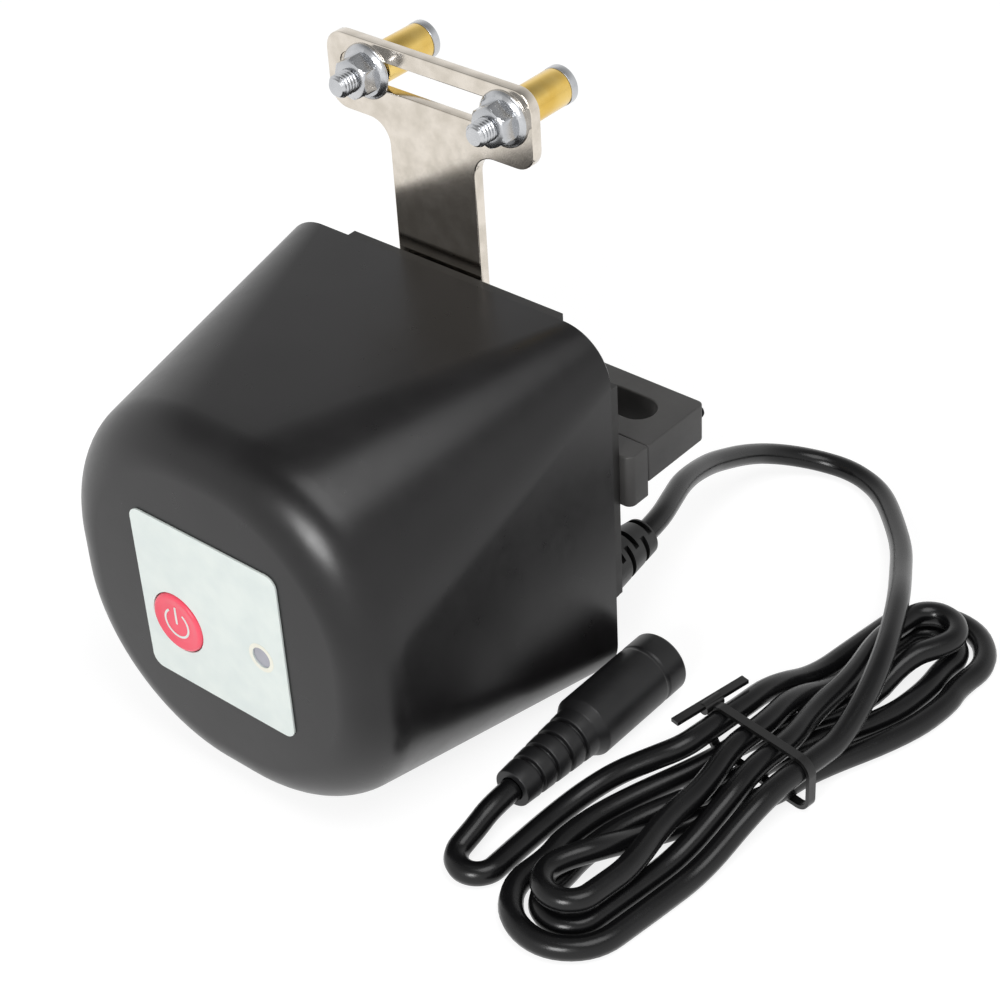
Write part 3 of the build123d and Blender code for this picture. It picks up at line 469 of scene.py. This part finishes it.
def half_strand(side, kind, lane, levels):
    """Points of a half strand from its lobe to the waist."""
    outs = (OVER if kind == "over" else UNDER)[lane]
    shares = STATIONS if kind == "over" else STATIONS[:3] + STATIONS[-1:]
    across = -side if kind == "over" else side
    last = len(shares) - 1
    return [hank_spot(side * LOBE_AT * shares[i], across * outs[i], levels[i], i == last)
            for i in range(last + 1)]


def hank_points():
    """Control points of the bundle's loops, six for each half turn."""
    waist = LOBE_AT * STATIONS[-1]
    rows = [hank_spot(waist, OVER["outer"][-1], 1, True)]
    for side, kind_out, lane_out, levels_out, kind_back, lane_back, levels_back in LOOPS:
        out = half_strand(side, kind_out, lane_out, levels_out)[::-1]
        back = half_strand(side, kind_back, lane_back, levels_back)
        radius = (out[-1] - back[0]).length / 2 / MM
        across = -side if kind_out == "over" else side
        turn = [hank_spot(side * (LOBE_AT + radius * a), across * radius * b, levels_out[0], False)
                for a, b in HALF_TURN]
        rows += out[:-1] + turn + back[1:]
    return rows + [hank_spot(-waist, -OVER["outer"][-1], 1, True)]


def cord_points():
    """Control points of the whole lead, from the gland to the socket."""
    bundle = hank_points()
    heading = math.radians(HANK_ANGLE)
    run = Vector((math.sin(heading), math.cos(heading), 0)) * LEAD_STRAIGHT * MM
    return ([Vector(p) for p in LEAD_ROUTE] + [bundle[0] + run] + bundle
            + [bundle[-1] - run] + [Vector(p) for p in TAIL_ROUTE])


# Sizes and colours that a user would change

class ControllerSizes(bpy.types.PropertyGroup):
    """Sizes of the pieces that Blender makes."""
    cord_diameter: FloatProperty(
        name="Lead diameter", description="Outer diameter of the lead's jacket",
        default=0.005, unit="LENGTH")
    cord_length: FloatProperty(
        name="Lead length", description="Length from the gland to the socket",
        default=1.1, unit="LENGTH")
    thread_pitch: FloatProperty(
        name="Thread pitch", description="Pitch of the stud threads in millimetres", default=0.8)
    edge_round: FloatProperty(
        name="Sheet edge", description="Rounding of the arm's edges in millimetres", default=0.25)


class ControllerStage(bpy.types.PropertyGroup):
    """Camera, lamps and floor."""
    lens: FloatProperty(
        name="Lens", description="Focal length on a 36 mm sensor", default=86.366, unit="CAMERA")
    key_power: FloatProperty(
        name="Key lamp", description="Power of the front softbox", default=8.5, unit="POWER")
    top_power: FloatProperty(
        name="Top lamp", description="Power of the overhead softbox", default=4.5, unit="POWER")
    world_level: FloatProperty(
        name="Room light", description="Strength of the room's even light", default=0.4)
    backdrop: FloatVectorProperty(
        name="Backdrop", description="Colour of floor and backdrop",
        subtype="COLOR", default=(0.93, 0.93, 0.93))


# Operators, one for each piece or group

class CONTROLLER_OT_finishes(bpy.types.Operator):
    """Give each solid that stays its finish"""
    bl_idname = "controller.finishes"
    bl_label = "Finish the solids"

    def execute(self, context):
        for row in frame["record"]["subparts"]:
            solid = frame["nodes"][row["node"]]
            finish = look(row["material_slot"])
            solid.data.materials.clear()
            solid.data.materials.append(finish)
        return {"FINISHED"}


class CONTROLLER_OT_housing(bpy.types.Operator):
    """Mould the housing, round at the front and square at the back"""
    bl_idname = "controller.housing"
    bl_label = "Housing"

    corner_steps: IntProperty(
        name="Corner steps", description="Facets round each corner", default=28)

    def corner_spot(self, side, angle, share, inset):
        """A point of a corner's arc, a share of the way from the front section to the back."""
        # Half width, corner radius and middle's height of the front section and the back one
        sections = ((42.7, 39.4, -1.3), (44.0, 11.5, 0.0))
        front, back = [
            (side[0] * (half - corner) + (corner - inset) * math.cos(angle),
             side[1] * (half - corner) + (corner - inset) * math.sin(angle) + height)
            for half, corner, height in sections]
        return tuple(a + (b - a) * share for a, b in zip(front, back))

    def rim(self, share, inset):
        """Outline of one section: four corners, each with a flat after it."""
        sides = ((1, 1), (-1, 1), (-1, -1), (1, -1))
        flat_steps = 6
        rows = []
        for quarter, side in enumerate(sides):
            for k in range(self.corner_steps + 1):
                angle = math.radians(90 * (quarter + k / self.corner_steps))
                x, z = self.corner_spot(side, angle, share, inset)
                rows.append((x, max(z, -CASE_Z)))
            start = rows[-1]
            following, angle = sides[(quarter + 1) % 4], math.radians(90 * (quarter + 1))
            end = self.corner_spot(following, angle, share, inset)
            for k in range(1, flat_steps):
                rows.append(tuple(a + (b - a) * k / flat_steps for a, b in zip(start, end)))
        return rows

    def execute(self, context):
        depth, nose, lip = 72.0, 10.0, 0.3
        wall, rim_wall, ledge = 3.0, 1.4, 69.0
        nose_steps, side_steps = 14, 24
        # Rows of (depth, inset): the rolled front edge, the side, the rim and the inside
        rows = []
        for k in range(nose_steps + 1):
            t = math.radians(90 * k / nose_steps)
            rows.append((nose * (1 - math.cos(t)), nose * (1 - math.sin(t))))
        rows += [(nose + (depth - lip - nose) * k / side_steps, 0.0)
                 for k in range(1, side_steps + 1)]
        rows += [(depth, lip), (depth, rim_wall), (ledge, rim_wall), (ledge, wall), (wall, wall)]
        verts = []
        for y, inset in rows:
            verts += [at(x, y, z) for x, z in self.rim(y / depth, inset)]
        mesh = bpy.data.meshes.new("housing_shell")
        faces = ring_faces(len(rows), len(verts) // len(rows))
        mesh.from_pydata([tuple(v) for v in verts], [], faces)
        tidy_normals(mesh)
        smooth(mesh, 40.0)
        fit("housing_shell", mesh, "housing_black", "housing", "front_housing")
        return {"FINISHED"}


class CONTROLLER_OT_lead(bpy.types.Operator):
    """Lay the lead from the gland through its tied bundle to the socket"""
    bl_idname = "controller.lead"
    bl_label = "Lead"

    def execute(self, context):
        sizes = context.scene.controller_sizes
        curve = bpy.data.curves.new("power_lead", "CURVE")
        curve.dimensions = "3D"
        curve.resolution_u = 6
        curve.bevel_depth = sizes.cord_diameter / 2
        curve.bevel_resolution = 4
        curve.use_fill_caps = True
        points = cord_points()
        spline = curve.splines.new("NURBS")
        spline.points.add(len(points) - 1)
        for point, spot in zip(spline.points, points):
            point.co = (*spot, 1)
        spline.order_u = 3
        spline.use_endpoint_u = True
        lead = fit("power_lead", curve, "cord_black", "housing",
                   "cord_lead", "cord_hank", "cord_tail")
        return {"FINISHED"}


class CONTROLLER_OT_socket(bpy.types.Operator):
    """Turn the inline socket with its ringed relief"""
    bl_idname = "controller.socket"
    bl_label = "Inline socket"

    def execute(self, context):
        # Places along the socket from its relief's end to its mouth, and radii
        tail, mouth, plug_floor = -23.5, 26.0, 13.0
        bore, tail_radius, barrel, plug = 2.6, 4.25, 7.0, 4.2
        ring_count, ring_pitch, ring_growth, ring_depth = 4, 4.22, 0.3, 0.9
        rows = [(tail, bore), (tail, tail_radius)]
        for n in range(1, ring_count + 1):
            y, r = tail + ring_pitch * n, tail_radius + ring_growth * n
            rows += [(y, r), (y + 0.1, r - ring_depth), (y + 1.1, r - ring_depth),
                     (y + 1.2, r + 0.1)]
        rows += [(-2.4, 5.75), (-0.4, barrel), (19.0, barrel), (19.4, 6.8), (19.9, 6.8),
                 (20.3, barrel), (25.4, barrel), (mouth, 6.4), (mouth, plug), (plug_floor, plug),
                 (plug_floor, bore)]
        place = Vector((50.4, 0, 7.1)) * MM
        mesh = turned("socket_body", eased(rows, 0.25, closed=True), place, closed=True)
        fit("socket_body", mesh, "jack_black", "housing", "jack_body")
        return {"FINISHED"}


class CONTROLLER_OT_studs(bpy.types.Operator):
    """Make the threaded studs, flange nuts and brass sleeves in the arm's slot"""
    bl_idname = "controller.studs"
    bl_label = "Studs"

    def execute(self, context):
        pitch = context.scene.controller_sizes.thread_pitch
        # Lengths in front of the arm and behind it, then radii
        rod_ahead, rod_behind, sleeve_long, head_end, key_floor = 9.0, 12.0, 13.3, 15.2, 14.2
        rod_radius, bore, sleeve_radius, head_radius, key_radius = 2.45, 2.5, 4.0, 4.1, 2.0
        nut_thick, hex_long, hex_half, sleeve_gap = 5.0, 3.75, 4.0, 0.02
        head_rows = [(rod_behind, AXIS), (rod_behind, 2.4), (sleeve_long, rod_radius),
                     (sleeve_long, head_radius), (head_end, head_radius), (head_end, key_radius),
                     (key_floor, key_radius), (key_floor, AXIS)]
        sleeve_rows = [(sleeve_gap, bore), (sleeve_gap, sleeve_radius),
                       (sleeve_long, sleeve_radius), (sleeve_long, bore)]
        nut_rows = [(0, bore), (0, 3.75), (0.15, 4.0), (0.45, 4.35), (0.8, 4.7), (3.3, 4.7),
                    (3.7, 4.75), (hex_long, 4.9), (4.2, 5.5), (4.55, 5.85), (4.75, 5.9),
                    (nut_thick, 5.85), (nut_thick, bore)]

        def hexed(y, r, t):
            """Radius of the nut, cut to six flats in front of its flange."""
            flat = hex_half / math.cos((t + math.pi / 6) % (math.pi / 3) - math.pi / 6)
            return r if y >= hex_long else min(flat, r)

        for side, x in STUDS.items():
            body, seat = side + "_stud", at(x, ARM_BACK, SLOT_Z)
            rod = threaded(side + "_thread", x, SLOT_Z, ARM_Y - rod_ahead, ARM_BACK + rod_behind,
                           rod_radius, pitch)
            head = turned(side + "_head", eased(head_rows, 0.25), seat)
            bolt = join(side + "_stud_bolt", [rod, head])
            fit(side + "_stud_bolt", bolt, "zinc_steel", body, side + "_bolt")
            sleeve = turned(side + "_stud_sleeve", eased(sleeve_rows, 0.3, closed=True), seat,
                            closed=True)
            fit(side + "_stud_sleeve", sleeve, "brass", body, side + "_sleeve")
            nut = turned(side + "_flange_nut", nut_rows, at(x, ARM_Y - nut_thick, SLOT_Z),
                         closed=True, segments=96, radius_of=hexed)
            fit(side + "_flange_nut", nut, "zinc_steel", body, side + "_nut")
        return {"FINISHED"}


class CONTROLLER_OT_arm(bpy.types.Operator):
    """Cut the slotted T arm from sheet, with rolled edges"""
    bl_idname = "controller.arm"
    bl_label = "T arm"

    def execute(self, context):
        edge = context.scene.controller_sizes.edge_round
        head_low, head_high, head_half, hub = 71.7, 88.5, 26.7, 11.2
        corner, neck = 4.5, 5.0
        slot_reach, slot_half, bore, flats_half = 20.0, 3.1, 4.02, 3.2
        left, right = SHAFT_X - head_half, SHAFT_X + head_half
        outline = arc(SHAFT_X, 0, hub, 180, 360, 24)
        outline += arc(SHAFT_X + hub + neck, head_low - neck, neck, 180, 90)
        outline += arc(right - corner, head_low + corner, corner, 270, 360)
        outline += arc(right - corner, head_high - corner, corner, 0, 90)
        outline += arc(left + corner, head_high - corner, corner, 90, 180)
        outline += arc(left + corner, head_low + corner, corner, 180, 270)
        outline += arc(SHAFT_X - hub - neck, head_low - neck, neck, 90, 0)
        slot = (arc(SHAFT_X + slot_reach, SLOT_Z, slot_half, -90, 90, 12)
                + arc(SHAFT_X - slot_reach, SLOT_Z, slot_half, 90, 270, 12))
        # The hole over the shaft's end, with its two flats
        flat = math.degrees(math.acos(flats_half / bore))
        hole = (arc(SHAFT_X, 0, bore, flat, 180 - flat)
                + arc(SHAFT_X, 0, bore, 180 + flat, 360 - flat))
        mesh = slab("slotted_arm", [outline, slot, hole], ARM_THICK, edge,
                    upright(ARM_Y + ARM_THICK / 2))
        fit("slotted_arm", mesh, "nickel_sheet", "output", "t_arm")
        return {"FINISHED"}


class CONTROLLER_OT_bracket(bpy.types.Operator):
    """Mould the pipe bracket's two blocks"""
    bl_idname = "controller.bracket"
    bl_label = "Pipe bracket"

    def execute(self, context):
        left, right, front, parting, back = 16.0, 46.0, 74.7, 80.7, 100.0
        sharp, clamp_round, base_round, edge = 0.4, 1.5, 1.8, 0.35
        slot_left, slot_right, slot_y, slot_half = 28.3, 35.9, 90.4, 4.1
        clamp_z, clamp_thick, base_z, base_thick = 9.9, 9.0, 8.2, 12.4
        outline = rounded_box_outline(left, right, parting, back,
                                      (sharp, sharp, clamp_round, clamp_round))
        strap = (arc(slot_right, slot_y, slot_half, -90, 90, 12)
                 + arc(slot_left, slot_y, slot_half, 90, 270, 12))
        clamp = slab("clamp_block", [outline, strap], clamp_thick, edge, level(clamp_z))
        fit("clamp_block", clamp, "bracket_black", "housing", "clamp_arm")
        outline = rounded_box_outline(left, right, front, parting,
                                      (base_round, base_round, sharp, sharp))
        base = slab("base_block", [outline], base_thick, edge, level(base_z))
        fit("base_block", base, "bracket_black", "housing", "bracket_base")
        return {"FINISHED"}


class CONTROLLER_OT_button(bpy.types.Operator):
    """Mould the raised button and its white standby sign"""
    bl_idname = "controller.button"
    bl_label = "Button"

    def execute(self, context):
        stem, flange, cap = 2.0, 8.0, 6.8
        # Rows of (depth, radius): the stem, the flange inside the wall, the cap and its dish
        rows = [(6.7, AXIS), (6.7, stem), (4.3, stem), (4.3, flange), (3.3, flange), (3.3, cap),
                (-0.35, cap), (-0.8, 6.55), (-1.0, 6.1), (-0.95, 5.4), (-0.85, 4.6), (-0.85, AXIS)]
        mesh = turned("button_cap", eased(rows, 0.12), at(BUTTON_X, 0, BUTTON_Z))
        fit("button_cap", mesh, "button_red", "button", "power_button")
        ring_in, ring_out, ring_from, ring_to = 3.0, 3.5, 125, 415
        bar_half, bar_low, bar_high, bar_round = 0.26, -0.2, 4.1, 0.22
        ring = (arc(0, 0, ring_out, ring_from, ring_to, 36)
                + arc(0, 0, ring_in, ring_to, ring_from, 36))
        bar = rounded_box_outline(-bar_half, bar_half, bar_low, bar_high, (bar_round,) * 4)
        sign = slab("button_sign", [ring, bar], 0.12, 0.03, upright(-0.88, BUTTON_X, BUTTON_Z))
        fit("button_sign", sign, "label_film", "button")
        return {"FINISHED"}


class CONTROLLER_OT_screws(bpy.types.Operator):
    """Make the cross-head cover screws and the threaded tips behind the clamp block"""
    bl_idname = "controller.screws"
    bl_label = "Screws"

    def execute(self, context):
        # Half width and reach of the cross, and the cover screws' radii and depths
        a, b = 0.36, 1.5
        cross = [(a, a), (a, b), (-a, b), (-a, a), (-b, a), (-b, -a), (-a, -a), (-a, -b),
                 (a, -b), (a, -a), (b, -a), (b, a)]
        shank, head, seat_y, top_y = 1.2, 2.75, 72.0, 73.4
        seat = [(-10.0, shank), (0, shank), (0, 2.72), (0.9, 2.72), (0.9, AXIS)]
        parts = []
        for x in (-COVER_SCREW_REACH, COVER_SCREW_REACH):
            for z in (-COVER_SCREW_REACH, COVER_SCREW_REACH):
                parts.append(slab("screw_top", [circle(0, 0, head), cross], 1.2, 0.4,
                                  upright(top_y, x, z)))
                parts.append(turned("screw_seat", seat, at(x, seat_y, z), segments=48))
        fit("cover_screw_set", join("cover_screw_set", parts), "zinc_steel", "housing",
            "cover_screws")
        head_from, head_to, thread_from, tip = 75.7, 77.7, 96.0, 103.0
        shank, head, pitch = 1.48, 2.7, 0.5
        body = [(head_from, AXIS), (head_from, head), (head_to, head), (head_to, shank),
                (thread_from, shank), (thread_from, AXIS)]
        parts = []
        for x in CLAMP_SCREWS:
            parts.append(threaded("tip", x, CLAMP_SCREW_Z, thread_from, tip, shank, pitch,
                                  tip_behind=True))
            parts.append(turned("head", body, at(x, 0, CLAMP_SCREW_Z), segments=48))
        fit("clamp_screw_set", join("clamp_screw_set", parts), "zinc_steel", "housing",
            "clamp_screws", finish="black_oxide")
        return {"FINISHED"}


class CONTROLLER_OT_label(bpy.types.Operator):
    """Lay the front label with its holes and the pale ring round the lamp window"""
    bl_idname = "controller.label"
    bl_label = "Front label"

    def execute(self, context):
        x, z, half, corner = 0.3, -0.5, 20.0, 2.6
        button_hole, window, ring_out = 7.0, 2.35, 3.3
        outline = rounded_box_outline(x - half, x + half, z - half, z + half, (corner,) * 4)
        window_hole = circle(LENS_X, LENS_Z, window, 36)
        holes = [circle(BUTTON_X, BUTTON_Z, button_hole), window_hole]
        label = slab("panel_label", [outline] + holes, 0.5, 0.08, upright(-0.25))
        fit("panel_label", label, "label_film", "housing", "front_label")
        ring = slab("window_ring", [circle(LENS_X, LENS_Z, ring_out, 36), window_hole], 0.04, 0.01,
                    upright(-0.52))
        fit("window_ring", ring, "label_film", "housing", finish="ring_cream")
        return {"FINISHED"}


class CONTROLLER_OT_stage(bpy.types.Operator):
    """Set the camera, the lamps, the floor and the view"""
    bl_idname = "controller.stage"
    bl_label = "Stage"

    def execute(self, context):
        stage = context.scene.controller_stage
        self.place_camera(context.scene, stage.lens)
        # Key from the front right, lower than the camera, and a soft overhead lamp to the right
        self.place_lamp("key_lamp", stage.key_power, (0.36, -1.05, 0.55), 0.4, (0.0, -0.05, 0.04))
        self.place_lamp("top_lamp", stage.top_power, (0.42, -0.05, 1.0), 0.6, (0.0, 0.0, 0.05))
        self.lay_floor(stage.backdrop)
        self.light_room(context.scene, stage.world_level)
        context.scene.view_settings.view_transform = "Standard"
        return {"FINISHED"}

    def place_camera(self, scene, lens):
        """Camera at the place and heading that were fitted to the photograph's outlines."""
        camera = bpy.data.objects.new("camera", bpy.data.cameras.new("camera"))
        scene.collection.objects.link(camera)
        right = Vector((0.76429, 0.64289, -0.05056))
        down = Vector((0.35178, -0.48135, -0.80284))
        ahead = Vector((-0.54047, 0.59582, -0.59404))
        turn = Matrix((right, -down, -ahead)).transposed().to_4x4()
        camera.matrix_world = Matrix.Translation((0.28771, -0.28333, 0.33885)) @ turn
        camera.data.sensor_width = 36.0
        camera.data.lens = lens
        scene.camera = camera

    def place_lamp(self, name, power, spot, size, aim):
        """Square softbox at a spot, turned to what it lights."""
        data = bpy.data.lights.new(name, "AREA")
        data.energy = power
        data.size = size
        lamp = bpy.data.objects.new(name, data)
        turn = (Vector(aim) - Vector(spot)).to_track_quat("-Z", "Y").to_matrix().to_4x4()
        lamp.matrix_world = Matrix.Translation(spot) @ turn
        bpy.context.scene.collection.objects.link(lamp)

    def lay_floor(self, colour):
        """Flat floor that the object stands on."""
        reach = 4.0
        corners = [(-reach, -reach, 0), (reach, -reach, 0), (reach, reach, 0), (-reach, reach, 0)]
        mesh = bpy.data.meshes.new("floor")
        mesh.from_pydata(corners, [], [(0, 1, 2, 3)])
        ground = bpy.data.objects.new("floor", mesh)
        bpy.context.scene.collection.objects.link(ground)
        mesh.materials.append(self.paper("paper_white_matt", colour))

    def light_room(self, scene, strength):
        """Even light, with white walls under a grey ceiling for the camera and for gloss."""
        world = bpy.data.worlds.new("room")
        scene.world = world
        world.use_nodes = True
        tree = world.node_tree
        tree.nodes.clear()
        wall_end, ceiling_start, wall_white, ceiling_grey = 0.35, 0.85, 1.0, 0.3
        place = put(tree, "ShaderNodeTexCoord").outputs["Generated"]
        height = put(tree, "ShaderNodeSeparateXYZ", {0: place}).outputs["Z"]
        wall = put(tree, "ShaderNodeMapRange", {"Value": height, "From Min": wall_end,
                                                "From Max": ceiling_start, "To Min": wall_white,
                                                "To Max": ceiling_grey})
        even = put(tree, "ShaderNodeBackground", {"Color": (1, 1, 1, 1), "Strength": strength})
        white = put(tree, "ShaderNodeBackground", {"Color": (1, 1, 1, 1),
                                                   "Strength": wall.outputs["Result"]})
        mix = put(tree, "ShaderNodeMixShader", {0: self.seen(tree), 1: even.outputs["Background"],
                                                2: white.outputs["Background"]})
        put(tree, "ShaderNodeOutputWorld", {"Surface": mix.outputs["Shader"]})

    def paper(self, name, colour):
        """Matt white paper: plain white to the camera, with the object's shadow kept."""
        grain, depth, glow_strength, glow_share = 1.5, 0.02, 1.16, 0.7
        made, tree, shader, place = start_material(name)
        rough = put(tree, "ShaderNodeTexNoise", {"Vector": place, "Scale": per_mm(grain)})
        bump = put(tree, "ShaderNodeBump", {"Height": rough.outputs["Fac"], "Strength": 0.1,
                                            "Distance": depth * MM})
        tree.links.new(bump.outputs["Normal"], shader.inputs["Normal"])
        shader.inputs["Base Color"].default_value = (*colour, 1.0)
        shader.inputs["Roughness"].default_value = 0.9
        glow = put(tree, "ShaderNodeEmission", {"Color": (1, 1, 1, 1), "Strength": glow_strength})
        share = put(tree, "ShaderNodeMath", {0: self.seen(tree), 1: glow_share},
                    operation="MULTIPLY")
        mix = put(tree, "ShaderNodeMixShader", {0: share.outputs["Value"],
                                                1: shader.outputs["BSDF"],
                                                2: glow.outputs["Emission"]})
        out = next(n for n in tree.nodes if n.bl_idname == "ShaderNodeOutputMaterial")
        tree.links.new(mix.outputs["Shader"], out.inputs["Surface"])
        return made

    def seen(self, tree):
        """One for rays from the camera, off gloss and through glass, and none for the rest."""
        rays = put(tree, "ShaderNodeLightPath").outputs
        both = put(tree, "ShaderNodeMath", {0: rays["Is Camera Ray"], 1: rays["Is Glossy Ray"]},
                   operation="MAXIMUM")
        return put(tree, "ShaderNodeMath", {0: both.outputs["Value"],
                                            1: rays["Is Transmission Ray"]},
                   operation="MAXIMUM").outputs["Value"]


class CONTROLLER_PT_panel(bpy.types.Panel):
    """Lists the pieces of the valve controller"""
    bl_label = "Valve Controller"
    bl_idname = "CONTROLLER_PT_panel"
    bl_space_type = "VIEW_3D"
    bl_region_type = "UI"
    bl_category = "Valve Controller"

    def draw(self, context):
        for group in (context.scene.controller_sizes, context.scene.controller_stage):
            for key in group.__annotations__:
                self.layout.prop(group, key)
        for step in STEPS:
            self.layout.operator(step.bl_idname)


STEPS = (
    CONTROLLER_OT_finishes, CONTROLLER_OT_housing, CONTROLLER_OT_socket, CONTROLLER_OT_lead,
    CONTROLLER_OT_studs, CONTROLLER_OT_arm, CONTROLLER_OT_bracket, CONTROLLER_OT_button,
    CONTROLLER_OT_label, CONTROLLER_OT_screws, CONTROLLER_OT_stage,
)
CLASSES = (ControllerSizes, ControllerStage) + STEPS + (CONTROLLER_PT_panel,)


def register():
    for kind in CLASSES:
        bpy.utils.register_class(kind)
    bpy.types.Scene.controller_sizes = PointerProperty(type=ControllerSizes)
    bpy.types.Scene.controller_stage = PointerProperty(type=ControllerStage)


def unregister():
    del bpy.types.Scene.controller_sizes
    del bpy.types.Scene.controller_stage
    for kind in reversed(CLASSES):
        bpy.utils.unregister_class(kind)


def main():
    """Register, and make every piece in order."""
    register()
    for step in STEPS:
        group, name = step.bl_idname.split(".")
        getattr(getattr(bpy.ops, group), name)()
    bpy.context.view_layer.update()


if __name__ == "__main__":
    main()
